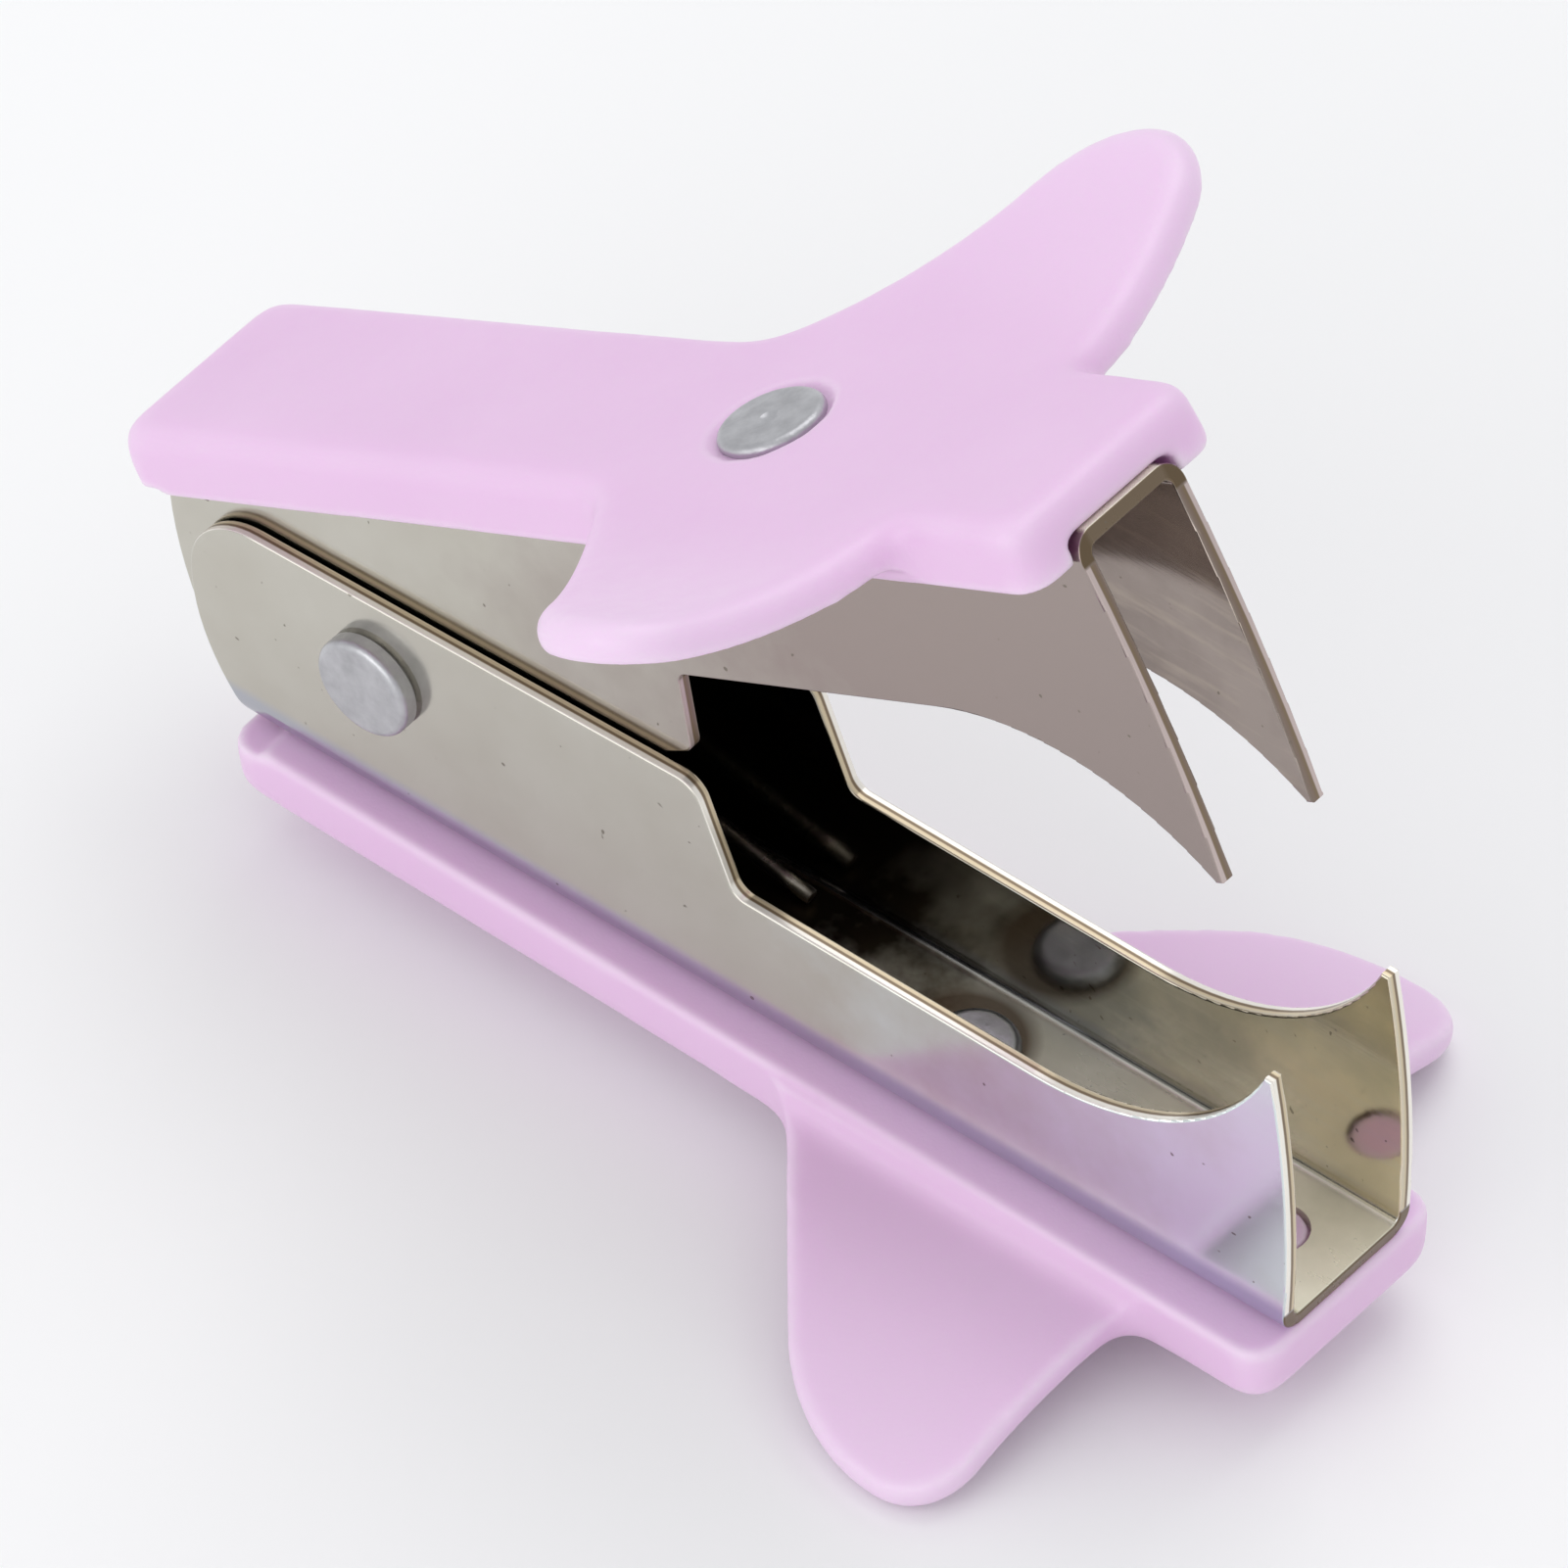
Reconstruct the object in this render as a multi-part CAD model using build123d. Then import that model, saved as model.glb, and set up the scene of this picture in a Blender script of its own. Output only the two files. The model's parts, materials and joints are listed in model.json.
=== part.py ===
from build123d import *
from math import acos, atan2, cos, degrees, hypot, radians, sin, sqrt, tan
import os

# A jaw-type staple remover: two U-shaped sheet steel jaws on one pivot rivet, pushed open by a
# torsion spring, each with a winged plastic grip riveted to its back.
# Millimetres. While modelling, the pivot axis is the Y axis through (0, 0, 0), +X points to the
# claws and +Z up. Each jaw is drawn with its web parallel to X; the upper one is then opened.

# ---- driving dimensions ----
open_angle = 27.4           # between the two webs when the spring holds the jaws open
sheet = 0.8                 # steel thickness of both jaws
bend_inside = 0.5           # inside radius of the folds between web and walls
bend_outside = bend_inside + sheet
burr_round = 0.12           # broken edge of the stamped outlines
claw_blunt = 0.45           # width of a claw's point

lower_width = 9.2           # outside the lower jaw's walls
side_gap = 0.15             # between an upper wall and a lower wall
upper_width = lower_width - 2 * sheet - 2 * side_gap
lower_web = 8.2             # pivot axis to the lower jaw's outer web face
upper_web = 12.2            # pivot axis to the upper jaw's outer web face
upper_rim = 10.7            # pivot axis to the upper grip's inner rim, beside the web
upper_seat = upper_web - upper_rim      # depth of the channel that the upper web lies in
channel_gap = 0.05          # between that channel's sides and the jaw

pin_radius = 1.5
pin_running_gap = 0.05
pin_head_radius = 2.7
pin_head_height = 1.1
pin_tail_radius = 2.2
pin_tail_height = 0.8
pin_head_round = 0.35       # outer rim of the head
pin_head_bevel = 0.2        # its rim beside the jaw
pin_tail_round = 0.5

grip_rear = -9.8            # both ends of the grip, from the pivot
grip_nose = 53.2
grip_rear_half = 5.9
grip_front_half = 6.6
rear_undercut = 2.2         # the rear face leans in by this much towards the jaw
grip_thickness = 3.6
wing_thickness = 2.1
rim_round = 1.1             # rounding of the outer face's rim
inner_round = 0.35          # rounding of the edge that faces the jaw
root_round = 1.1            # where a wing leaves the body
wing_flat_half = 7.7        # the wings curl outward from here
wing_curl_radius = 26.0
lower_grip_shift = 1.4      # the lower grip sits this much further forward
upper_grip_tilt = 0.7       # degrees; the upper grip's nose stands up from its web

rivet_x = 30.8              # the rivet that holds a grip, from the pivot
rivet_radius = 1.5
rivet_head_radius = 2.7
rivet_head_height = 0.55
rivet_tail_radius = 2.2
rivet_tail_height = 0.75
rivet_head_round = 0.385
rivet_tail_round = 0.6
dimple_radius = 0.9
dimple_depth = 0.15
recess_radius = 3.05
recess_depth = 0.35
peg_x = 48.8                # the grip's locating peg, from the pivot
peg_radius = 1.45
peg_height = 0.7
peg_sunk = 0.5              # how far the peg's cylinder reaches into the grip
peg_hole_radius = 1.6

wire_radius = 0.4
coil_radius = 2.45          # to the wire's centre
whole_turns = 5             # before the part turn that brings the second leg forward
coil_half = 2.35            # half the coil's length, to the wire's centre
leg_gap = 0.02              # between a leg and the web that it presses
knee_radius = 1.08 * wire_radius    # where a leg bends off the coil
leg_reach = 20.4            # from the pivot to a leg's end

far = 200.0                 # longer than anything here
proud = 1.0                 # how far a cutter stands out of what it cuts
tiny = 0.01
axial = 0.999               # cosine with an axis, for an edge that lies along it


# ---- helpers ----
def turned(x, z, angle):
    """The point (x, z) turned up by angle degrees about the pivot."""
    c, s = cos(radians(angle)), sin(radians(angle))
    return x * c - z * s, x * s + z * c


def side_plate(outline):
    """A closed XZ outline made into a plate that spans every wall."""
    face = make_face(outline)
    return extrude(face, far / 2, both=True)


def on_side(x, z):
    return Vector(x, 0, z)


def channel(width, web_face, outward):
    """A long U channel with its web's outer face at z = web_face; outward is -1 or +1."""
    depth = far
    middle = web_face - outward * depth / 2
    outer = Pos(0, middle) * Rectangle(width, depth)
    inner_middle = middle - outward * sheet
    inner = Pos(0, inner_middle) * Rectangle(width - 2 * sheet, depth)
    outer_corners = outer.vertices().sort_by(Axis.Y)
    inner_corners = inner.vertices().sort_by(Axis.Y)
    web_corners = slice(0, 2) if outward < 0 else slice(2, 4)
    outer = fillet(outer_corners[web_corners], bend_outside)
    inner = fillet(inner_corners[web_corners], bend_inside)
    section = Plane.YZ * (outer - inner)
    return extrude(section, far, both=True)


def across(x, z, radius, length):
    """A cylinder along Y."""
    return Pos(x, 0, z) * Rot(90, 0, 0) * Cylinder(radius, length)


def upright(x, z_low, z_high, radius):
    """A cylinder along Z."""
    return Pos(x, 0, (z_low + z_high) / 2) * Cylinder(radius, z_high - z_low)


# ---- jaws ----
ear_radius = 11.3           # the lower jaw's rounded rear, about the pivot
ear_top = 4.3               # height of the lower ears above the pivot at their rear
ear_slope = 2.2             # degrees that the ear's top edge climbs
step_top_x, step_bottom_x = 19.4, 21.7
low_edge = -0.4             # top edge of the lower walls between the step and the claws
scoop_start = 39.5
lower_rounds = [4.1, 1.5, 1.0]      # corners of the ear and the step
lower_claw = (53.4, 8.6)
lower_front = 54.3          # the web's front edge
lower_bulge = (54.6, 0.0)   # the claws' front edge bows forward
heel_middle = 25.0          # an angle on the heel's arc, for drawing it


def lower_outline():
    floor = -lower_web
    heel_x = -sqrt(ear_radius**2 - floor**2)
    step_top_z = ear_top + (step_top_x + ear_radius) * tan(radians(ear_slope))
    heel = ThreePointArc(
        on_side(heel_x, floor),
        on_side(*turned(-ear_radius, 0, heel_middle)),
        on_side(-ear_radius, 0),
    )
    rise = claw_radius(lower_claw[0] - scoop_start, lower_claw[1] - low_edge)
    scoop = scoop_arc(scoop_start, low_edge, rise, lower_claw, 1)
    back = FilletPolyline(
        on_side(-ear_radius, 0),
        on_side(-ear_radius, ear_top),
        on_side(step_top_x, step_top_z),
        on_side(step_bottom_x, low_edge),
        on_side(scoop_start, low_edge),
        radius=lower_rounds,
    )
    point = (lower_claw[0] + claw_blunt, lower_claw[1])
    blunt = Line(on_side(*lower_claw), on_side(*point))
    front = ThreePointArc(
        on_side(*point), on_side(*lower_bulge), on_side(lower_front, floor)
    )
    web = Line(on_side(lower_front, floor), on_side(heel_x, floor))
    return Curve() + [heel, back, scoop, blunt, front, web]


def claw_radius(run, rise):
    """Radius of the arc that leaves a straight edge and reaches a point run along, rise off it."""
    return (run**2 + rise**2) / (2 * rise)


def scoop_arc(x, z, radius, tip, side):
    """The claw's concave edge: tangent to the edge at (x, z), ending at tip."""
    half = (tip[0] - x) / 2
    middle_z = z + side * (radius - sqrt(radius**2 - half**2))
    return ThreePointArc(on_side(x, z), on_side(x + half, middle_z), on_side(*tip))


upper_ear_radius = 12.25    # the upper jaw's rounded rear, about the pivot
upper_heel_x = -8.6         # the upper web's rear edge
upper_step_bottom = (19.4, -2.8)
upper_step_top_x = 20.9
upper_edge = 1.65           # lower edge of the upper walls between the step and the claws
upper_scoop_start = 38.5
upper_claw = (52.8, -6.6)
upper_front = 53.3          # the web's front edge
upper_bulge = (53.7, 3.0)   # the claws' front edge bows forward
upper_rounds = [1.5, 0.6, 0.8]      # corners of the stop edge and the step
ear_middle = 5.0            # an angle on the ear's arc, for drawing it
stop_gap = 0.2              # the upper ears stop this far above the lower web, on its folds
stop_front_x = -1.0         # front end of that stop edge


def upper_outline():
    stop_z = -lower_web + sheet + stop_gap
    stop_rear = turned(-sqrt(upper_ear_radius**2 - stop_z**2), stop_z, -open_angle)
    stop_front = turned(stop_front_x, stop_z, -open_angle)
    heel = TangentArc(
        on_side(-upper_ear_radius, 0), on_side(upper_heel_x, upper_web), tangent=(0, 0, 1)
    )
    ear = ThreePointArc(
        on_side(-upper_ear_radius, 0),
        on_side(*turned(-upper_ear_radius, 0, ear_middle)),
        on_side(*stop_rear),
    )
    under = FilletPolyline(
        on_side(*stop_rear),
        on_side(*stop_front),
        on_side(*upper_step_bottom),
        on_side(upper_step_top_x, upper_edge),
        on_side(upper_scoop_start, upper_edge),
        radius=upper_rounds,
    )
    drop = claw_radius(upper_claw[0] - upper_scoop_start, upper_edge - upper_claw[1])
    scoop = scoop_arc(upper_scoop_start, upper_edge, drop, upper_claw, -1)
    point = (upper_claw[0] + claw_blunt, upper_claw[1])
    blunt = Line(on_side(*upper_claw), on_side(*point))
    front = ThreePointArc(
        on_side(*point), on_side(*upper_bulge), on_side(upper_front, upper_web)
    )
    web = Line(on_side(upper_front, upper_web), on_side(upper_heel_x, upper_web))
    return Curve() + [heel, ear, under, scoop, blunt, front, web]


def deburred(jaw, web_face):
    """Break the stamped outlines; the folds' tangent edges and the corners across stay."""
    def stamped(edge):
        middle, direction = edge.center(), edge % 0.5
        straight = edge.geom_type == GeomType.LINE
        fold = straight and abs(direction.X) > axial
        fold = fold and abs(middle.Z - web_face) < bend_outside + tiny
        across_sheet = straight and abs(direction.Y) > axial and edge.length < sheet + tiny
        return not fold and not across_sheet

    return fillet(jaw.edges().filter_by(stamped), burr_round)


def lower_jaw():
    jaw = channel(lower_width, -lower_web, -1) & side_plate(lower_outline())
    jaw = deburred(jaw, -lower_web)
    jaw -= across(0, 0, pin_radius, lower_width + 2 * proud)
    shift = lower_grip_shift
    below, above = -lower_web - proud, -lower_web + sheet + proud
    jaw -= upright(rivet_x + shift, below, above, rivet_radius)
    jaw -= upright(peg_x + shift, below, above, peg_hole_radius)
    return jaw


def upper_jaw():
    jaw = channel(upper_width, upper_web, 1) & side_plate(upper_outline())
    jaw = deburred(jaw, upper_web)
    jaw -= across(0, 0, pin_radius + pin_running_gap, upper_width + 2 * proud)
    below, above = upper_web - sheet - proud, upper_web + proud
    jaw -= upright(rivet_x, below, above, rivet_radius)
    jaw -= upright(peg_x, below, above, peg_hole_radius)
    return jaw


# ---- grips ----
wing_root_rear, wing_root_front = 24.6, 45.2    # where the wings' edges meet the bar's sides
root_rear_round, root_front_round = 3.8, 1.3
# wings: half span, x of the tip's two corners before rounding, their roundings
lower_wings = (20.1, 36.2, 44.6, 10.8, 3.4)
upper_wings = (21.0, 35.2, 42.3, 8.0, 3.5)
nose_round, tail_round = 1.6, 1.4
rear_lip = 0.4              # upright band of the rear face, under the rim's rounding


def bar_half(x):
    """Half the bar's width, which tapers to the rear."""
    along = (x - grip_rear) / (grip_nose - grip_rear)
    return grip_rear_half + along * (grip_front_half - grip_rear_half)


def rounded_plan(half, radii):
    """A face that is symmetric about X, from the corners of one half, rear to nose."""
    other = [(x, -y) for x, y in reversed(half)]
    outline = FilletPolyline(*half, *other, radius=radii + radii[::-1], close=True)
    return make_face(outline)


def bar_corner(x):
    return x, bar_half(x)


def grip_bar():
    """The bar that lies on the web; its inner face is at z = 0."""
    plan = rounded_plan([bar_corner(grip_rear), bar_corner(grip_nose)], [tail_round, nose_round])
    bar = extrude(plan, grip_thickness) - rear_wedge()
    return fillet(bar.faces().sort_by(Axis.Z)[0].edges(), inner_round)


def rear_wedge():
    """What the leaning rear face takes off the bar, below the rim."""
    lip = grip_thickness - rim_round - rear_lip
    wedge = Polyline(
        on_side(grip_rear, lip),
        on_side(grip_rear + rear_undercut, 0),
        on_side(grip_rear - proud, 0),
        on_side(grip_rear - proud, lip),
        close=True,
    )
    return extrude(make_face(wedge), far / 2, both=True)


def winged_plan(wings):
    half_span, tip_rear, tip_front, tip_rear_round, tip_front_round = wings
    half = [
        bar_corner(grip_rear),
        bar_corner(wing_root_rear),
        (tip_rear, half_span),
        (tip_front, half_span),
        bar_corner(wing_root_front),
        bar_corner(grip_nose),
    ]
    return rounded_plan(half, [
        tail_round,
        root_rear_round,
        tip_rear_round,
        tip_front_round,
        root_front_round,
        nose_round,
    ])


def wing_slab(half_span):
    """A strip along X: flat over the body, curled up outside it, hollow-filleted at the root."""
    top, bottom = grip_thickness, grip_thickness - wing_thickness
    root = wing_flat_half - root_round
    edge = half_span + proud
    middle = (wing_flat_half + edge) / 2

    def curl(y, z):
        radius = wing_curl_radius - (z - bottom)
        return z + radius - sqrt(radius**2 - (y - wing_flat_half) ** 2)

    def half_section(side):
        def at(y, z):
            return side * y, z

        over, under = at(edge, curl(edge, top)), at(edge, curl(edge, bottom))
        hollow = root_round * (1 - sqrt(0.5))
        return make_face(Curve() + [
            Line(at(0, bottom - root_round), at(0, top)),
            Line(at(0, top), at(wing_flat_half, top)),
            ThreePointArc(at(wing_flat_half, top), at(middle, curl(middle, top)), over),
            Line(over, under),
            ThreePointArc(under, at(middle, curl(middle, bottom)), at(wing_flat_half, bottom)),
            ThreePointArc(
                at(wing_flat_half, bottom),
                at(root + hollow, bottom - hollow),
                at(root, bottom - root_round),
            ),
            Line(at(root, bottom - root_round), at(0, bottom - root_round)),
        ])

    section = Plane.YZ * (half_section(1) + half_section(-1))
    return extrude(section, far, both=True)


def grip(seat, tilt, wings):
    """A grip with its inner rim at z = 0 and its outer face up; the web lies at z = seat."""
    wing = extrude(winged_plan(wings), far, both=True) & wing_slab(wings[0])
    whole = fillet(rim(grip_bar() + wing), rim_round)
    whole = Pos(rivet_x, 0, 0) * Rot(0, -tilt, 0) * Pos(-rivet_x, 0, 0) * whole
    top = grip_thickness + proud
    whole -= upright(rivet_x, grip_thickness - recess_depth, top, recess_radius)
    whole -= upright(rivet_x, -proud, top, rivet_radius)
    if seat:
        whole -= Box(far, upper_width + 2 * channel_gap, 2 * seat)
    whole += upright(peg_x, seat - peg_height, seat + peg_sunk, peg_radius)
    return whole


upward = 0.9                # height of the normal of a face that looks up
same_place = 3              # decimals of a millimetre


def rim(shape):
    """Edges round the faces that look up, without those between two of them."""
    counted = {}
    for face in shape.faces():
        if face.normal_at().Z > upward:
            for edge in face.edges():
                middle = edge.center()
                key = tuple(round(value, same_place) for value in middle)
                counted.setdefault(key, []).append(edge)
    return ShapeList(same[0] for same in counted.values() if len(same) == 1)


# ---- rivets ----
def grip_rivet(seat):
    """The rivet through a grip and its web, in the grip's frame: head up, clinched end down."""
    head_low = grip_thickness - recess_depth
    head_top = head_low + rivet_head_height
    clinch_top = seat - sheet
    head = upright(rivet_x, head_low, head_top, rivet_head_radius)
    head = fillet(head.edges().sort_by(Axis.Z)[-1], rivet_head_round)
    dimple = Pos(rivet_x, 0, head_top + dimple_radius - dimple_depth) * Sphere(dimple_radius)
    shank = upright(rivet_x, clinch_top, head_low, rivet_radius)
    clinch = upright(rivet_x, clinch_top - rivet_tail_height, clinch_top, rivet_tail_radius)
    clinch = fillet(clinch.edges().sort_by(Axis.Z)[0], rivet_tail_round)
    return head - dimple + shank + clinch


def pivot_pin():
    """The rivet that the jaws turn on, its head on the -Y side."""
    half = lower_width / 2
    shank = across(0, 0, pin_radius, lower_width)
    head = Pos(0, -half - pin_head_height / 2, 0) * Rot(90, 0, 0)
    head *= Cylinder(pin_head_radius, pin_head_height)
    head_rims = head.edges().filter_by(GeomType.CIRCLE).sort_by(Axis.Y)
    head = fillet(head_rims[0], pin_head_round)
    head = chamfer(head.edges().filter_by(GeomType.CIRCLE).sort_by(Axis.Y)[-1], pin_head_bevel)
    tail = Pos(0, half + pin_tail_height / 2, 0) * Rot(90, 0, 0)
    tail *= Cylinder(pin_tail_radius, pin_tail_height)
    tail_rims = tail.edges().filter_by(GeomType.CIRCLE).sort_by(Axis.Y)
    tail = fillet(tail_rims[-1], pin_tail_round)
    return head + shank + tail


# ---- spring ----
def leg_angle(end, side):
    """Where a straight leg to end touches the coil, in degrees from +X; side 1 is its top."""
    x, z = end
    return degrees(atan2(z, x)) + side * degrees(acos(coil_radius / hypot(x, z)))


def on_coil(angle, y):
    x, z = turned(coil_radius, 0, angle)
    return Vector(x, y, z)


def torsion_spring():
    """One wire: along the lower web, around the pin, and along the upper web."""
    reach = leg_reach
    lower_end = (reach, -lower_web + sheet + wire_radius + leg_gap)
    upper_end = turned(reach, upper_web - sheet - wire_radius - leg_gap, open_angle)
    lower_angle, upper_angle = leg_angle(lower_end, -1), leg_angle(upper_end, 1)
    turns = whole_turns + (lower_angle + 360 - upper_angle) / 360
    start, finish = on_coil(lower_angle, coil_half), on_coil(upper_angle, -coil_half)
    coil_plane = Plane(
        origin=(0, coil_half, 0), x_dir=(start.X, 0, start.Z), z_dir=(0, -1, 0)
    )
    height = 2 * coil_half
    helix = coil_plane * Helix(height / turns, height, coil_radius, lefthand=True)
    spring = wire(helix)
    for root, end in ((start, lower_end), (finish, upper_end)):
        tip = Vector(end[0], root.Y, end[1])
        spring += Pos(*root) * Sphere(knee_radius)
        spring += wire(Line(root, tip))
    return spring


def wire(path):
    section = Plane(origin=path @ 0, z_dir=path % 0) * Circle(wire_radius)
    return sweep(section, path, is_frenet=True)


# ---- the assembly, with the jaws held open ----
def pieces():
    opened = Rot(0, -open_angle, 0)
    on_upper = opened * Pos(0, 0, upper_rim)
    on_lower = Pos(lower_grip_shift, 0, -lower_web) * Rot(180, 0, 0)
    return {
        "lower_jaw": lower_jaw(),
        "lower_grip": on_lower * grip(0, 0, lower_wings),
        "lower_grip_rivet": on_lower * grip_rivet(0),
        "pivot_pin": pivot_pin(),
        "torsion_spring": torsion_spring(),
        "upper_jaw": opened * upper_jaw(),
        "upper_grip": on_upper * grip(upper_seat, upper_grip_tilt, upper_wings),
        "upper_grip_rivet": on_upper * grip_rivet(upper_seat),
    }


if __name__ == "__main__":
    os.makedirs("parts", exist_ok=True)
    made = pieces()
    boxes = [shape.bounding_box() for shape in made.values()]
    rear, front = min(b.min.X for b in boxes), max(b.max.X for b in boxes)
    pivot = Pos(-(rear + front) / 2, 0, -min(b.min.Z for b in boxes))
    print("pivot axis at", pivot.position)
    for name, shape in made.items():
        export_step(pivot * shape, f"parts/{name}.step")
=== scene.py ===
"""Looks for a jaw-type staple remover: nickel-plated jaws, lilac moulded grips, satin rivets."""
import json
import math

import bmesh
import bpy
from mathutils import Matrix, Vector


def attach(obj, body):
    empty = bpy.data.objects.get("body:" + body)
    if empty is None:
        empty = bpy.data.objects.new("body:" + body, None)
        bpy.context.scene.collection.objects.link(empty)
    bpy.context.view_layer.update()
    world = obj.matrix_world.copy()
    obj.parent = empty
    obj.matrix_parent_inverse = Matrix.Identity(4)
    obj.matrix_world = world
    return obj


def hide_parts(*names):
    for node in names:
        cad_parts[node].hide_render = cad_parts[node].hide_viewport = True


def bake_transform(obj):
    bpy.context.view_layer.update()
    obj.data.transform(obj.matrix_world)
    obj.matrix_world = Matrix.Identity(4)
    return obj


MM = 0.001

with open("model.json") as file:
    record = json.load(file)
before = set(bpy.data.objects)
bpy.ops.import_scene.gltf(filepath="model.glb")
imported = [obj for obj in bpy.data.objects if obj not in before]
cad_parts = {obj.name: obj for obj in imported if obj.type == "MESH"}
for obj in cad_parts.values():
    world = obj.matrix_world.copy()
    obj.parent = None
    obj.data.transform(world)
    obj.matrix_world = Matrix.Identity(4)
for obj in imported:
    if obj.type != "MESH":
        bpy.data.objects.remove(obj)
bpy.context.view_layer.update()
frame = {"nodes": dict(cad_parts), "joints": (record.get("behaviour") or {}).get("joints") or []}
nodes = frame["nodes"]
PIVOT = Vector(frame["joints"][0]["pos_m"])
OPEN = math.radians(27.4)       # between the jaws' webs at rest
RIVET_AHEAD = 31.5              # mm from the pivot to each grip rivet's axis, along its web


def add_object(name, data):
    thing = bpy.data.objects.new(name, data)
    bpy.context.scene.collection.objects.link(thing)
    return thing


def paint(piece, material):
    piece.data.materials.clear()
    piece.data.materials.append(material)


def shade_smooth(mesh):
    mesh.polygons.foreach_set("use_smooth", [True] * len(mesh.polygons))


# ---------------------------------------------------------------- shader helpers
class Shader:
    """A new material and short ways to add nodes to it.

    A share is a number from 0 to 1 that says how much of something shows at a point.
    """

    def __init__(self, name):
        self.material = bpy.data.materials.new(name)
        self.material.use_nodes = True
        self.tree = self.material.node_tree
        self.surface = self.tree.nodes["Principled BSDF"]
        self.place = self.add("ShaderNodeTexCoord").outputs["Object"]

    def add(self, kind, **settings):
        node = self.tree.nodes.new(kind)
        for key, value in settings.items():
            setattr(node, key, value)
        return node

    def link(self, source, target):
        self.tree.links.new(source, target)

    def put(self, node, key, value):
        """A socket gets a number or colour, or is linked to another socket."""
        if isinstance(value, bpy.types.NodeSocket):
            self.link(value, node.inputs[key])
        else:
            node.inputs[key].default_value = value

    def noise(self, scale, detail=3.0, rough=0.5, stretch=(1, 1, 1)):
        """Noise of about scale bumps a metre, stretched along the axes."""
        mapping = self.add("ShaderNodeMapping")
        self.link(self.place, mapping.inputs["Vector"])
        mapping.inputs["Scale"].default_value = stretch
        node = self.add("ShaderNodeTexNoise")
        self.link(mapping.outputs["Vector"], node.inputs["Vector"])
        node.inputs["Scale"].default_value = scale
        node.inputs["Detail"].default_value = detail
        node.inputs["Roughness"].default_value = rough
        return node.outputs["Fac"]

    def patches(self, scale, detail, start=0.0, end=1.0, rough=0.5):
        """Soft-edged patches: noise, which keeps to about 0.3..0.7, spread to start..end."""
        return self.spread(self.noise(scale, detail, rough), 0.3, 0.7, start, end)

    def spread(self, value, low, high, start=0.0, end=1.0):
        """value from low..high mapped to start..end, clamped."""
        node = self.add("ShaderNodeMapRange")
        self.put(node, "Value", value)
        ends = {"From Min": low, "From Max": high, "To Min": start, "To Max": end}
        for key, number in ends.items():
            self.put(node, key, number)
        return node.outputs["Result"]

    def math(self, operation, a, b=0.0):
        node = self.add("ShaderNodeMath", operation=operation)
        self.put(node, 0, a)
        self.put(node, 1, b)
        return node.outputs[0]

    def overlap(self, first, *others):
        """The product of shares."""
        for other in others:
            first = self.math("MULTIPLY", first, other)
        return first

    def mix(self, share, a, b):
        """A colour that goes from a to b; the node's colour sockets are 6, 7 and output 2."""
        node = self.add("ShaderNodeMix", data_type="RGBA")
        self.put(node, 0, share)
        self.put(node, 6, a)
        self.put(node, 7, b)
        return node.outputs[2]

    def blend(self, share, a, b):
        """A number that goes from a to b; the node's number sockets are 2, 3 and output 0."""
        node = self.add("ShaderNodeMix", data_type="FLOAT")
        self.put(node, 0, share)
        self.put(node, 2, a)
        self.put(node, 3, b)
        return node.outputs[0]

    def bump(self, height, distance, strength, under=None):
        node = self.add("ShaderNodeBump")
        self.put(node, "Height", height)
        node.inputs["Distance"].default_value = distance
        node.inputs["Strength"].default_value = strength
        if under is not None:
            self.link(under, node.inputs["Normal"])
        return node.outputs["Normal"]

    def dot(self, socket, direction):
        node = self.add("ShaderNodeVectorMath", operation="DOT_PRODUCT")
        self.link(socket, node.inputs[0])
        node.inputs[1].default_value = direction
        return node.outputs["Value"]

    def along(self, direction, start):
        """Distance from start along a direction, in the object's space."""
        return self.math("SUBTRACT", self.dot(self.place, direction), Vector(direction).dot(start))

    def length(self, a, b):
        """The length of a vector whose two parts are a and b."""
        squares = self.math("ADD", self.math("MULTIPLY", a, a), self.math("MULTIPLY", b, b))
        return self.math("SQRT", squares)

    def axis(self, socket, letter):
        node = self.add("ShaderNodeSeparateXYZ")
        self.link(socket, node.inputs[0])
        return node.outputs[letter]


def rgb(r, g, b):
    """A screen colour, 0 to 255, as the shader's linear one."""
    def linear(v):
        v /= 255
        return v / 12.92 if v <= 0.04045 else ((v + 0.055) / 1.055) ** 2.4
    return linear(r), linear(g), linear(b), 1.0


# ---------------------------------------------------------------- plastic
LILAC = rgb(227, 190, 225)
LILAC_CLOUD = rgb(231, 196, 229)
LILAC_GLOW = rgb(236, 211, 236)         # painted glow towards the wing tips, standing in for light that gets through the plastic
LILAC_HIGHLIGHT = rgb(243, 227, 243)         # painted highlight along rounded edges
GLOW_SPAN = (8 * MM, 20 * MM)               # from the middle plane, where the wings' painted glow grows
CONVEX = "convex"                       # a mesh attribute: mm the surface is rounded outward
HIGHLIGHT_CONVEX = (0.02, 0.16)              # its values from flat to a full edge, over which the painted highlight grows


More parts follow.
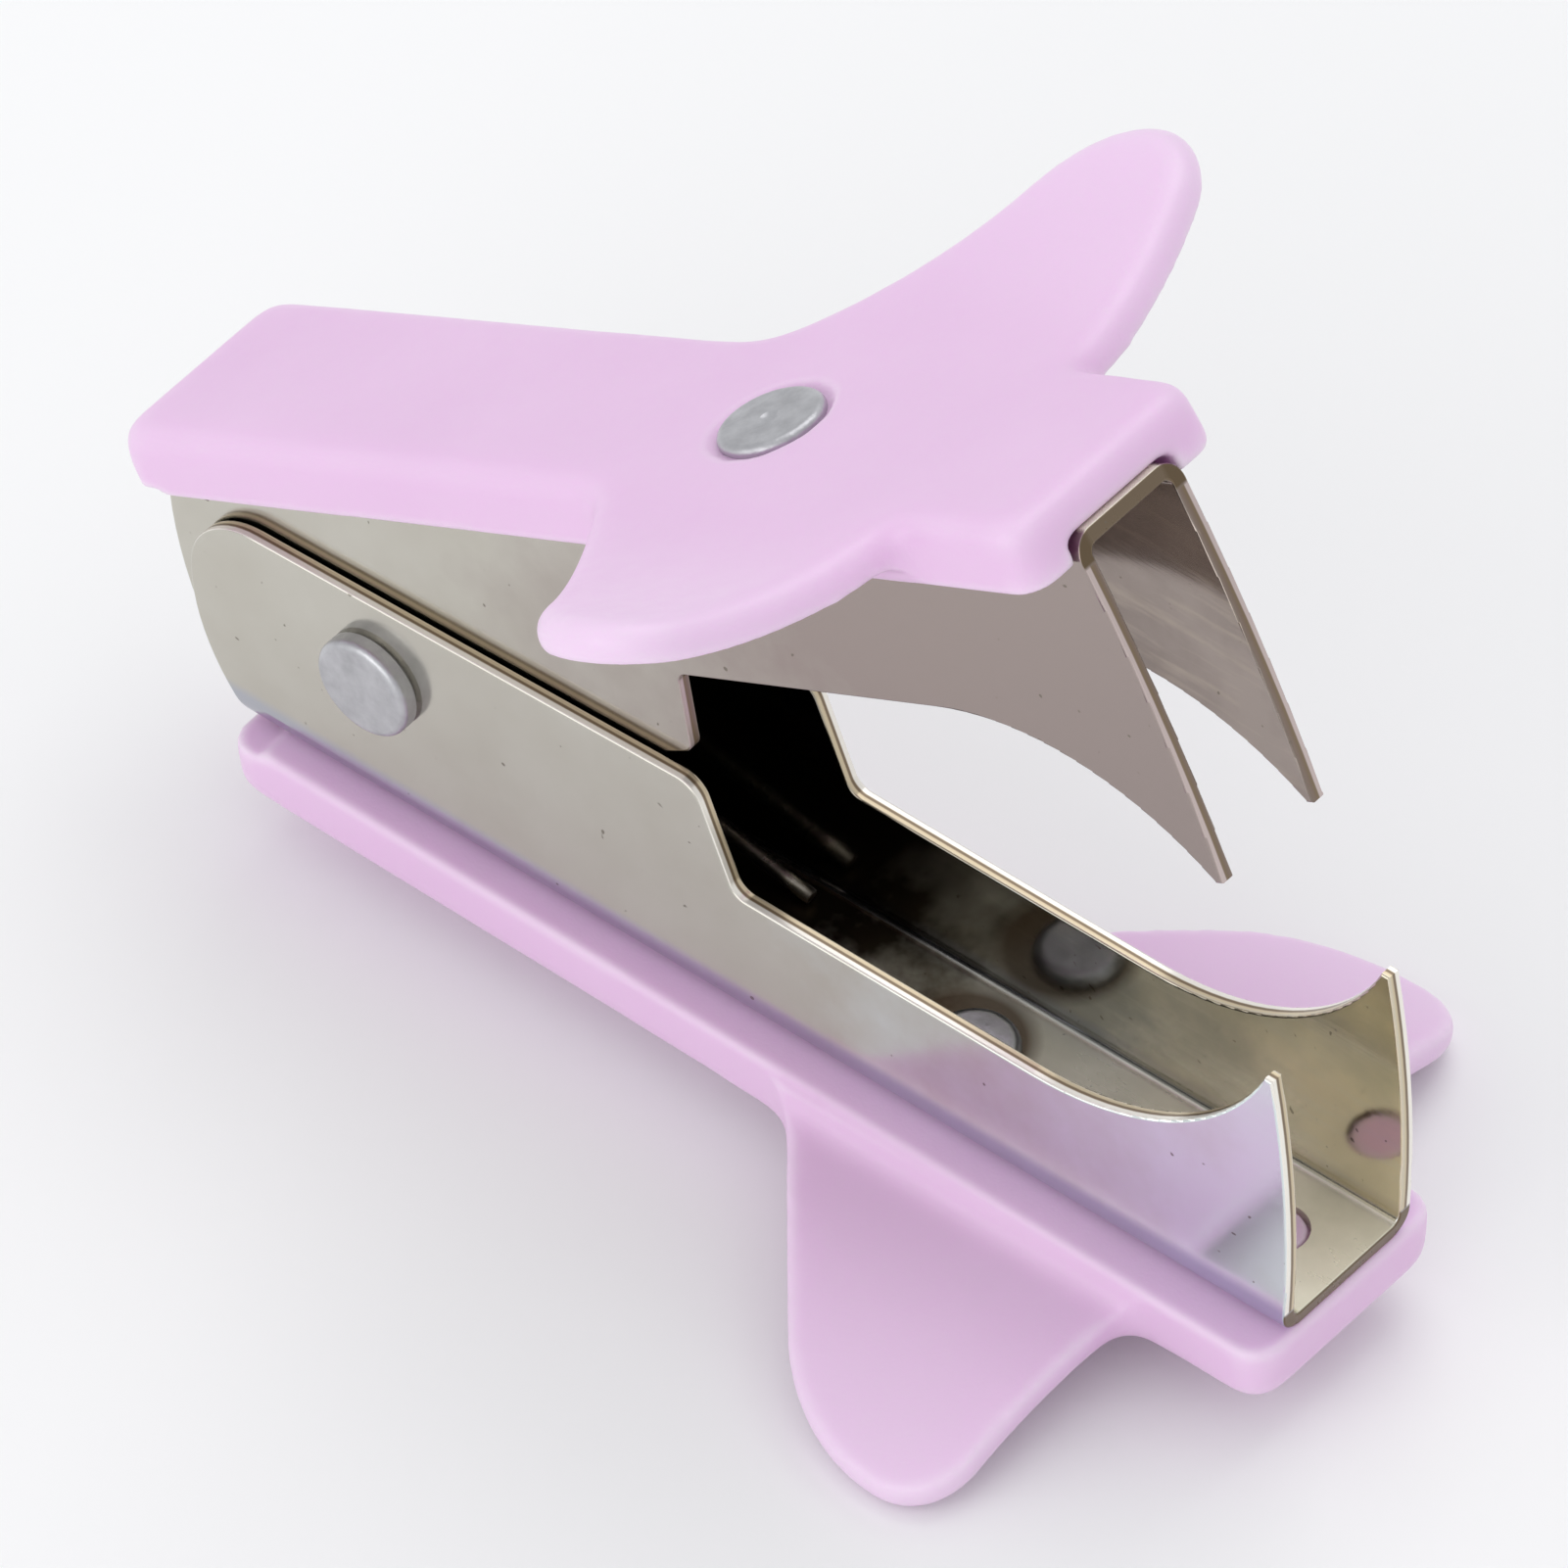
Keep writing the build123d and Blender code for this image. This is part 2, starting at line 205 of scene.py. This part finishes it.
def lilac_plastic():
    """Satin moulded plastic, slightly translucent, with a fine moulded grain."""
    s = Shader("lilac_plastic")
    body = s.mix(s.patches(70, 2), LILAC, LILAC_CLOUD)
    # painted glow: the wings lighter towards their tips, for light through the plastic
    glow = s.spread(s.math("ABSOLUTE", s.axis(s.place, "Y")), *GLOW_SPAN, 0.0, 0.6)
    body = s.mix(glow, body, LILAC_GLOW)
    # painted highlight: rounded edges made lighter, by how convex the surface is there
    convex = s.add("ShaderNodeAttribute", attribute_name=CONVEX).outputs["Fac"]
    edge = s.spread(convex, *HIGHLIGHT_CONVEX, 0.0, 0.75)
    s.put(s.surface, "Base Color", s.mix(edge, body, LILAC_HIGHLIGHT))
    s.put(s.surface, "Roughness", s.patches(900, 4, 0.34, 0.46))
    grain = s.bump(s.noise(5200, 3), 0.04 * MM, 0.22)
    s.put(s.surface, "Normal", s.bump(s.noise(160, 2), 0.5 * MM, 0.12, grain))
    s.put(s.surface, "Subsurface Weight", 0.25)
    s.put(s.surface, "Subsurface Radius", (2.2 * MM, 1.4 * MM, 2.2 * MM))
    s.put(s.surface, "Subsurface Scale", 1.0)
    s.put(s.surface, "IOR", 1.49)
    return s.material


# ---------------------------------------------------------------- sheet steel
NICKEL = rgb(193, 189, 178)
NICKEL_LIGHT = rgb(201, 198, 188)
BEND_REFLECTION_BLUE = rgb(172, 180, 200)          # painted reflection of the grip's ledge, along the lower jaw's folds
BEND_REFLECTION_SHARE = 0.55                       # how much of it shows there
WALL_PAINTED_SHADE = rgb(62, 52, 41)            # painted shade inside, on the walls near the pivot
SCRATCH = rgb(222, 208, 182)
WEB_PAINTED_SHADE = rgb(84, 74, 60)             # painted shade inside, on the web near the pivot
WEB_CREAM = rgb(214, 212, 192)          # and near the claws, lightened as painted light
WEB_CREAM_LIGHT = rgb(246, 242, 224)
RIVET_PAINTED_SHADE = rgb(92, 70, 46)            # painted shade round a rivet's clinched end
SEAM_BROWN = rgb(124, 106, 84)          # the line along a cut edge
WEB_END = rgb(112, 96, 76)              # the web's front end
PIT_BROWN = rgb(110, 102, 90)

WALL_FADE = 0.2 * MM                    # a wall's looks set in over this, either side of its face
WEB_FADE = 0.3 * MM                     # and the inner web's over this, inward
SEAM = 0.38 * MM                        # a cut edge's line, from the wall's inner face
SEAM_FADE = (0.12 * MM, 0.05 * MM)      # from the line's middle
BURNISHED_HIGHLIGHT_FROM = (0.42 * MM, 0.50 * MM) # from the wall's inner face, where the burnish and its painted highlight start
FOLD_ENDS = (1.4 * MM, 1.6 * MM)        # from the web's outer face, as is BEND_REFLECTION_FADE
BEND_REFLECTION_FADE = (2.2 * MM, 1.6 * MM)
RAGGED = 9 * MM                         # how far the next four borders wander along the web
FRONT_FADE = 26 * MM                    # length over which the front's painted reflection sets in
WEB_SHADE_ENDS = (22 * MM, 31 * MM)         # where the web's painted shade gives way, from the pivot, as are the next two
WALL_SHADE_ENDS = (35 * MM, 54 * MM)
WALL_SCRATCHED = (28 * MM, 44 * MM)
RIVET_SHADE_FADE = (2.9 * MM, 3.8 * MM)        # where the painted shade fades, from the rivet's axis


def nickel_steel(name, inner_half, lean, side, web, ahead, front, gold, burnished_highlight, torn):
    """Nickel-plated sheet: satin outside, brighter inside with painted shade towards the pivot,
    bare along its cut edges.

    inner_half is half the width between the walls; lean is the web's slope; the web's outer face
    is web off the pivot, above it for side +1 and below it for -1. front, a painted reflection,
    and gold are the outside's and the inside's colours near the claws, and ahead is where front
    sets in;
    a cut edge is a light burnish with a painted highlight over its outer half and torn over its
    inner one, with a dark line between.
    """
    s = Shader(name)
    normal = s.add("ShaderNodeTexCoord").outputs["Normal"]
    y = s.axis(s.place, "Y")
    off = s.math("ABSOLUTE", y)
    facing = s.axis(normal, "Y")
    ahead_way = (math.cos(lean), 0, math.sin(lean))
    web_way = (-side * math.sin(lean), 0, side * math.cos(lean))
    forward = s.along(ahead_way, PIVOT)
    depth = s.math("SUBTRACT", web, s.along(web_way, PIVOT))    # from the web's outer face inward

    # which part of the sheet a point is on; outward is +1 on faces that look away from the
    # middle plane and -1 on those that look at it
    outward = s.math("MULTIPLY", s.math("SIGN", y), facing)
    on_wall = s.spread(off, inner_half - WALL_FADE, inner_half + WALL_FADE)
    inner_wall = s.overlap(s.spread(outward, -0.3, -0.6), on_wall)
    inner_web = s.spread(off, inner_half, inner_half - WEB_FADE)
    inside = s.math("MAXIMUM", inner_wall, inner_web)
    past_fold = s.spread(depth, *FOLD_ENDS)
    sideways = s.math("ABSOLUTE", facing)
    cut = s.overlap(s.spread(sideways, 0.8, 0.5), past_fold, on_wall)
    web_end = s.overlap(s.spread(s.dot(normal, ahead_way), 0.4, 0.7), s.spread(past_fold, 1, 0))

    # outside
    patch = s.spread(s.noise(190, 6, 0.55), 0.3, 0.72)
    streak = s.noise(1400, 3, 0.6, (0.12, 1, 1))
    wander = s.spread(s.noise(160, 5, 0.6), 0.2, 0.8, -RAGGED, RAGGED)
    ragged = s.math("ADD", forward, wander)
    satin = s.mix(patch, NICKEL, NICKEL_LIGHT)
    # painted reflection: the outside near the claws takes the front colour, for what it mirrors
    # there
    satin = s.mix(s.spread(ragged, ahead, ahead + FRONT_FADE), satin, front)
    # painted reflection: the lower jaw's folds tinted blue where they mirror the grip's ledge
    bend_reflection = s.spread(depth, *BEND_REFLECTION_FADE, 0.0, BEND_REFLECTION_SHARE if side < 0 else 0.0)
    satin = s.mix(bend_reflection, satin, BEND_REFLECTION_BLUE)

    # inside: the walls, then the web
    # painted shade: the inner walls dark brown near the pivot, giving way towards the claws
    lining = s.mix(s.spread(ragged, *WALL_SHADE_ENDS), WALL_PAINTED_SHADE, gold)
    worn = s.overlap(s.spread(streak, 0.5, 0.72), s.spread(ragged, *WALL_SCRATCHED))
    lining = s.mix(s.overlap(worn, 0.4), lining, SCRATCH)
    clear = s.spread(ragged, *WEB_SHADE_ENDS)
    # painted light and shade on the web: dark brown near the pivot, light cream towards the claws
    floor = s.mix(clear, WEB_PAINTED_SHADE, s.mix(patch, WEB_CREAM, WEB_CREAM_LIGHT))
    from_rivet = s.length(y, s.math("SUBTRACT", forward, RIVET_AHEAD * MM))
    # painted shade: a dark ring round the rivet's clinched end
    floor = s.mix(s.spread(from_rivet, *RIVET_SHADE_FADE, 0.85, 0.0), floor, RIVET_PAINTED_SHADE)
    colour = s.mix(inside, satin, s.mix(inner_web, lining, floor))

    # cut edges and pits
    # painted highlight: a cut edge's outer half light and less metallic, partly a real burnish
    outer_half = s.spread(off, *(inner_half + d for d in BURNISHED_HIGHLIGHT_FROM))
    from_seam = s.math("ABSOLUTE", s.math("SUBTRACT", off, inner_half + SEAM))
    edge = s.mix(outer_half, torn, burnished_highlight)
    edge = s.mix(s.spread(from_seam, *SEAM_FADE), edge, SEAM_BROWN)
    colour = s.mix(cut, colour, edge)
    colour = s.mix(web_end, colour, WEB_END)
    pits = s.spread(s.noise(1700, 1, 0.4), 0.205, 0.235, 0.75, 0.0)
    pits = s.overlap(pits, s.spread(cut, 0, 1, 1, 0))
    s.put(s.surface, "Base Color", s.mix(pits, colour, PIT_BROWN))

    # the web past its painted shade is also less metallic, so its painted light shows
    dull = s.math("MAXIMUM", cut, s.overlap(inner_web, clear))
    s.put(s.surface, "Metallic", s.spread(dull, 0, 1, 1.0, 0.4))
    rough_wall = s.spread(patch, 0, 1, 0.08, 0.04)
    rough_web = s.spread(patch, 0, 1, 0.34, 0.24)
    rough_outside = s.spread(patch, 0, 1, 0.17, 0.13)
    rough = s.blend(inside, rough_outside, s.blend(inner_web, rough_wall, rough_web))
    s.put(s.surface, "Roughness", s.math("ADD", rough, s.spread(streak, 0.3, 0.7, -0.01, 0.03)))
    waves = s.bump(s.noise(120, 2), 0.4 * MM, 0.05)
    s.put(s.surface, "Normal", s.bump(streak, 0.03 * MM, 0.09, waves))
    return s.material


# ---------------------------------------------------------------- the other materials
def plain_metal(name, scale, detail, colours, roughs, rough=0.5):
    """A bare metal that varies between two colours and two roughnesses in patches."""
    s = Shader(name)
    patch = s.patches(scale, detail, rough=rough)
    s.put(s.surface, "Base Color", s.mix(patch, *colours))
    s.put(s.surface, "Metallic", 1.0)
    s.put(s.surface, "Roughness", s.spread(patch, 0, 1, *roughs))
    return s


def rivet_metal():
    """Aluminium, tumbled: satin with small dents."""
    greys = rgb(178, 178, 181), rgb(200, 200, 203)
    s = plain_metal("satin_aluminium", 700, 4, greys, (0.46, 0.33), rough=0.6)
    dents = s.bump(s.noise(1500, 2), 0.2 * MM, 0.22)
    s.put(s.surface, "Normal", s.bump(s.noise(7000, 3), 0.04 * MM, 0.25, dents))
    return s.material


def spring_wire():
    """Drawn and oil-darkened wire, with a fine grain."""
    browns = rgb(118, 112, 104), rgb(158, 152, 142)
    s = plain_metal("spring_wire", 900, 4, browns, (0.36, 0.24))
    s.put(s.surface, "Normal", s.bump(s.noise(5000, 3), 0.03 * MM, 0.3))
    return s.material


def floor_paint():
    s = Shader("floor_paint")
    s.put(s.surface, "Base Color", s.mix(s.noise(6, 2), rgb(246, 246, 246), rgb(249, 249, 249)))
    s.put(s.surface, "Roughness", 0.85)
    return s.material


# ---------------------------------------------------------------- grips
VOXEL = 0.24 * MM               # mesh size of the moulded grips
WELD = 0.002 * MM
EDGE_ROUNDS = 8                 # smoothing passes that soften every edge
RIM_ROUNDS = 60                 # further passes round the outline, away from the rivet and the jaw
ROOT_ROUNDS = 14                # and where a wing leaves the bar
GAUGE_ROUNDS = 24               # passes of the trial smoothing that measures convexity

# where those passes work, in millimetres from the pivot with the grip level; the two numbers
# are the lower grip's (side -1) and the upper grip's (side +1)
SEAT = {-1: 8.2, 1: 10.7}       # level of the side that lies on the jaw
RIM_FROM = {-1: 9.2, 1: 11.8}   # level from which the rim is rounded
ROOT_DEPTH = 2.6                # a root is less than this past the seat
ROOT_ACROSS = 8.4               # from the middle plane
ROOT_REACH = 1.8
ROOT_FROM, ROOT_FROM_FADE = 25, 3
ROOT_TO, ROOT_TO_FADE = 47, 2
WINGS_FROM, WINGS_TO, WINGS_FADE = 24, 47, 3
WING_SHARE = 0.45               # of the rim's rounding, between those two
RIVET_CLEAR = 4.6               # radius kept sharp round the rivet


def moulded_grip(name, node, body, lean, side, material):
    """A soft-edged copy of a CAD grip. lean turns it level; side is +1 where its rim looks up."""
    grip = add_object(name, nodes[node].data.copy())
    level = Matrix.Rotation(lean, 4, "Y") @ Matrix.Translation(-PIVOT)
    grip.data.transform(level)
    weld(grip.data)
    grip.data.remesh_voxel_size = VOXEL
    bpy.context.view_layer.objects.active = grip
    grip.select_set(True)
    bpy.ops.object.voxel_remesh()
    relax(grip, "soft_edges", EDGE_ROUNDS)
    relax(grip, "soft_rim", RIM_ROUNDS, lambda point: rim_share(point, side))
    relax(grip, "soft_roots", ROOT_ROUNDS, lambda point: root_share(point, side))
    gauge_convexity(grip)
    grip.data.transform(level.inverted())
    shade_smooth(grip.data)
    grip.select_set(False)
    paint(grip, material)
    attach(grip, body)
    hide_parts(node)


def weld(mesh):
    work = bmesh.new()
    work.from_mesh(mesh)
    bmesh.ops.remove_doubles(work, verts=work.verts, dist=WELD)
    work.to_mesh(mesh)
    work.free()


def smoother(piece, name, rounds):
    """A smoothing modifier; each pass moves a point half way to the middle of its neighbours."""
    modifier = piece.modifiers.new(name, "SMOOTH")
    modifier.factor = 0.5
    modifier.iterations = rounds
    return modifier


def relax(piece, name, rounds, share=None):
    """Laplacian smoothing, applied; share(point) from 0 to 1 limits it."""
    smooth = smoother(piece, name, rounds)
    if share is not None:
        group = piece.vertex_groups.new(name=name)
        for vertex in piece.data.vertices:
            weight = share(vertex.co)
            if weight > 0:
                group.add([vertex.index], weight, "REPLACE")
        smooth.vertex_group = name
    bpy.context.view_layer.objects.active = piece
    bpy.ops.object.modifier_apply(modifier=smooth.name)
    if share is not None:
        piece.vertex_groups.clear()


def gauge_convexity(piece):
    """Store how far a trial smoothing would move each point inward."""
    trial = smoother(piece, "gauge", GAUGE_ROUNDS)
    bpy.context.view_layer.update()
    smoothed = piece.evaluated_get(bpy.context.evaluated_depsgraph_get()).data.vertices
    points = piece.data.vertices
    inward = [(p.co - q.co).dot(p.normal) / MM for p, q in zip(points, smoothed)]
    piece.modifiers.remove(trial)
    attribute = piece.data.attributes.new(CONVEX, "FLOAT", "POINT")
    attribute.data.foreach_set("value", inward)


def clamp(value, low=0.0):
    return min(1.0, max(low, value))


def root_share(point, side):
    """How much a point near a wing's root, on the face towards the jaw, is smoothed."""
    along, across, level = grip_place(point, side)
    near = max(0.0, 1 - abs(across - ROOT_ACROSS) / ROOT_REACH)
    past_rear = clamp((along - ROOT_FROM) / ROOT_FROM_FADE)
    before_front = clamp((ROOT_TO - along) / ROOT_TO_FADE)
    return near * (past_rear * before_front) if level < SEAT[side] + ROOT_DEPTH else 0.0


def rim_share(point, side):
    """How much a point on the outer half of the bar, or on a wing, is smoothed further."""
    along, across, level = grip_place(point, side)
    outer = clamp(level - RIM_FROM[side])
    past_wings = max((WINGS_FROM - along) / WINGS_FADE, (along - WINGS_TO) / WINGS_FADE)
    off_rivet = clamp(math.hypot(across, along - RIVET_AHEAD) - RIVET_CLEAR)
    return clamp(past_wings, WING_SHARE) * outer * off_rivet


def grip_place(point, side):
    """Millimetres along the bar, from its middle plane, and outward from the pivot."""
    return point.x / MM, abs(point.y) / MM, side * point.z / MM


# ---------------------------------------------------------------- spring
WIRE = 0.4 * MM                 # the wire's radius
COIL = 2.45 * MM                # radius of the coil, to the wire's centre
COIL_HALF = 2.35 * MM           # half its length
WHOLE_TURNS = 5
LEG = 20.4 * MM                 # from the pivot to a leg's end, along its web
LOWER_LEG = -6.98 * MM          # height of the legs' centres off the pivot, each in its own jaw
UPPER_LEG = 10.98 * MM
WIRE_SIDES = 20
TURN_STEPS = 48                 # points along one turn of the coil
LEG_STEPS = 12


def torsion_spring():
    """A round wire along the path, its ends cut square; a fixed mesh, shaped for the jaws at rest.
    """
    mesh = bpy.data.meshes.new("torsion_spring_wire")
    work = bmesh.new()
    rings = wire_rings(work, spring_path())
    for ring, following in zip(rings, rings[1:]):
        for k in range(WIRE_SIDES):
            m = (k + 1) % WIRE_SIDES
            work.faces.new((ring[k], ring[m], following[m], following[k]))
    work.faces.new(rings[0][::-1])
    work.faces.new(rings[-1])
    bmesh.ops.recalc_face_normals(work, faces=work.faces)
    work.to_mesh(mesh)
    work.free()
    shade_smooth(mesh)
    spring = add_object("torsion_spring_wire", mesh)
    paint(spring, spring_wire())
    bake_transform(spring)
    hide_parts("torsion_spring")


def wire_rings(work, path):
    """A ring of new vertices round each point of the path, square to it."""
    turns = [2 * math.pi * k / WIRE_SIDES for k in range(WIRE_SIDES)]
    rings = []
    for i, point in enumerate(path):
        ahead = path[min(i + 1, len(path) - 1)] - path[max(i - 1, 0)]
        ahead.normalize()
        right = Vector((0, 1, 0)).cross(ahead).normalized()
        up = ahead.cross(right)
        rings.append([
            work.verts.new(point + WIRE * (math.cos(a) * right + math.sin(a) * up)) for a in turns
        ])
    return rings


def spring_path():
    """The wire's centre line: lower leg's end, coil, upper leg's end."""
    lower_end = Vector((LEG, 0, LOWER_LEG))
    upper_end = Matrix.Rotation(-OPEN, 3, "Y") @ Vector((LEG, 0, UPPER_LEG))
    first = touch_angle(lower_end, -1)
    last = touch_angle(upper_end, 1)
    sweep = -(2 * math.pi * (WHOLE_TURNS + 1) + first - last)
    steps = round(abs(sweep) / (2 * math.pi) * TURN_STEPS)
    coil = []
    for i in range(steps + 1):
        angle = first + sweep * i / steps
        y = COIL_HALF * (1 - 2 * i / steps)
        coil.append(Vector((COIL * math.cos(angle), y, COIL * math.sin(angle))))
    lower_end.y, upper_end.y = COIL_HALF, -COIL_HALF
    legs = [i / LEG_STEPS for i in range(LEG_STEPS)]
    lower = [lower_end.lerp(coil[0], t) for t in legs]
    upper = [upper_end.lerp(coil[-1], t) for t in reversed(legs)]
    return [PIVOT + point for point in lower + coil + upper]


def touch_angle(end, side):
    """Where a straight leg to end leaves the coil, from +X; side 1 is the coil's top."""
    return math.atan2(end.z, end.x) + side * math.acos(COIL / math.hypot(end.x, end.z))


# ---------------------------------------------------------------- stage, light, camera
FLOOR_SIZE = 6.0
SKY = (0.97, 0.98, 1.0, 1)
SKY_STRENGTH = 0.75

AIM = PIVOT + Vector((23.35, -2.74, 6.73)) * MM
AZIMUTH, ELEVATION, ROLL = 41.08, 46.41, -1.61      # degrees
DISTANCE = 1.5014
LENS, SENSOR = 750.2, 36.0                          # millimetres
NEAREST, FARTHEST = 0.1, 20.0                       # what the camera sees between


def floor():
    bpy.ops.mesh.primitive_plane_add(size=FLOOR_SIZE)
    plane = bpy.context.object
    plane.name = "floor"
    paint(plane, floor_paint())


def sky():
    world = bpy.data.worlds.new("studio")
    world.use_nodes = True
    back = world.node_tree.nodes["Background"]
    back.inputs["Color"].default_value = SKY
    back.inputs["Strength"].default_value = SKY_STRENGTH
    bpy.context.scene.world = world
    bpy.context.scene.view_settings.view_transform = "Standard"


def soft_light(name, place, size, power):
    """A rectangular light that looks at the pivot, of power watts."""
    data = bpy.data.lights.new(name, "AREA")
    data.shape = "RECTANGLE"
    data.size, data.size_y = size
    data.energy = power
    light = add_object(name, data)
    light.location = place
    light.rotation_euler = (PIVOT - Vector(place)).to_track_quat("-Z", "Y").to_euler()


def camera():
    a, e = math.radians(AZIMUTH), math.radians(ELEVATION)
    back = Vector((math.sin(a) * math.cos(e), -math.cos(a) * math.cos(e), math.sin(e)))
    data = bpy.data.cameras.new("camera")
    data.lens = LENS
    data.sensor_width = SENSOR
    data.clip_start, data.clip_end = NEAREST, FARTHEST
    view = add_object("camera", data)
    turn = (-back).to_track_quat("-Z", "Y").to_matrix().to_4x4()
    roll = Matrix.Rotation(math.radians(ROLL), 4, "Z")
    view.matrix_world = Matrix.Translation(AIM + back * DISTANCE) @ turn @ roll
    bpy.context.scene.camera = view


# ---------------------------------------------------------------- the scene
plastic = lilac_plastic()
aluminium = rivet_metal()
# each jaw's front colour is a painted reflection near the claws: light bluish on the lower, darker
# on the upper
paint(nodes["lower_jaw"], nickel_steel(
    "nickel_lower", inner_half=3.8 * MM, lean=0.0, side=-1, web=8.2 * MM, ahead=24 * MM,
    front=rgb(226, 235, 235), gold=rgb(228, 198, 142),
    burnished_highlight=rgb(246, 242, 232), torn=rgb(206, 190, 158)))
paint(nodes["upper_jaw"], nickel_steel(
    "nickel_upper", inner_half=2.85 * MM, lean=OPEN, side=1, web=12.2 * MM, ahead=6 * MM,
    front=rgb(162, 149, 144), gold=rgb(172, 162, 152),
    burnished_highlight=rgb(196, 180, 176), torn=rgb(124, 106, 92)))
for node in ("lower_grip_rivet", "upper_grip_rivet", "pivot_pin"):
    paint(nodes[node], aluminium)
torsion_spring()

moulded_grip("lower_grip_moulding", "lower_grip", "lower", lean=0.0, side=-1, material=plastic)
moulded_grip("upper_grip_moulding", "upper_grip", "upper", lean=OPEN, side=1, material=plastic)

floor()
sky()
soft_light("key", place=(-0.15, 0.45, 1.0), size=(0.8, 0.8), power=3)
soft_light("front", place=(-0.1, -1.0, 0.45), size=(1.4, 0.8), power=4)
camera()
